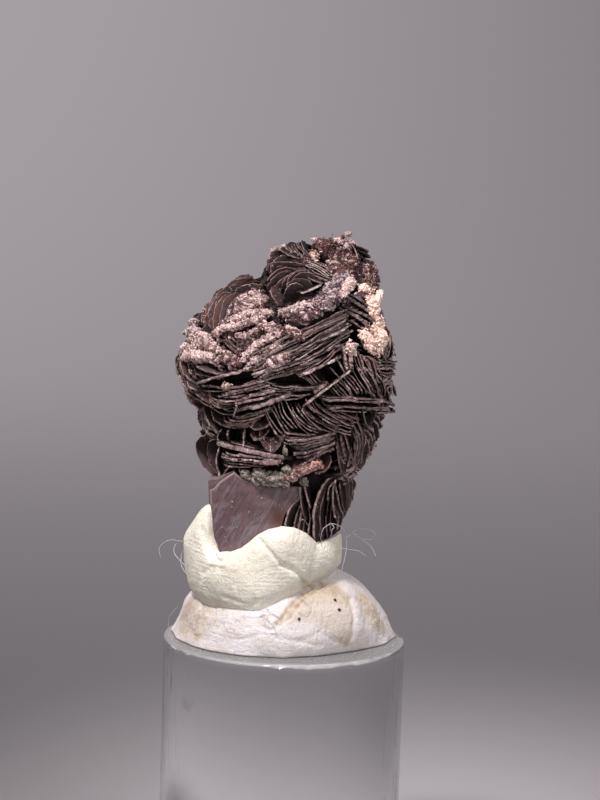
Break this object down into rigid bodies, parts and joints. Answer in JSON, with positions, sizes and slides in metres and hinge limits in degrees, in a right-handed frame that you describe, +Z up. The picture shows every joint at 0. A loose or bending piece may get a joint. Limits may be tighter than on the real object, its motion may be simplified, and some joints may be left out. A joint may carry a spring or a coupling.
{
  "type": "specular hematite specimen",
  "caption": "Rosette of thin dark hematite plates, held by a cream and a white lump of mounting putty on the end of a clear round display rod.",
  "frame": {"origin": "centre of the rod's flat lower end, the face that it stands on", "axes": "+Z up along the rod, -Y towards the side that the picture shows, +X to that view's right"},
  "size_m": [0.02, 0.02, 0.0582],
  "materials": {
    "hematite": "dark purplish brown plates with a submetallic sheen and pinkish grey edges",
    "cream_tack": "cream putty, matt, with fine prints and creases",
    "white_tack": "white putty with beige stains",
    "clear_acrylic": "clear, polished side with light scratches and a rough cut end"
  },
  "bodies": {
    "root": {"hematite_specimen": "hematite", "tack_collar": "cream_tack", "tack_dome": "white_tack", "acrylic_rod": "clear_acrylic"}
  },
  "joints": []
}
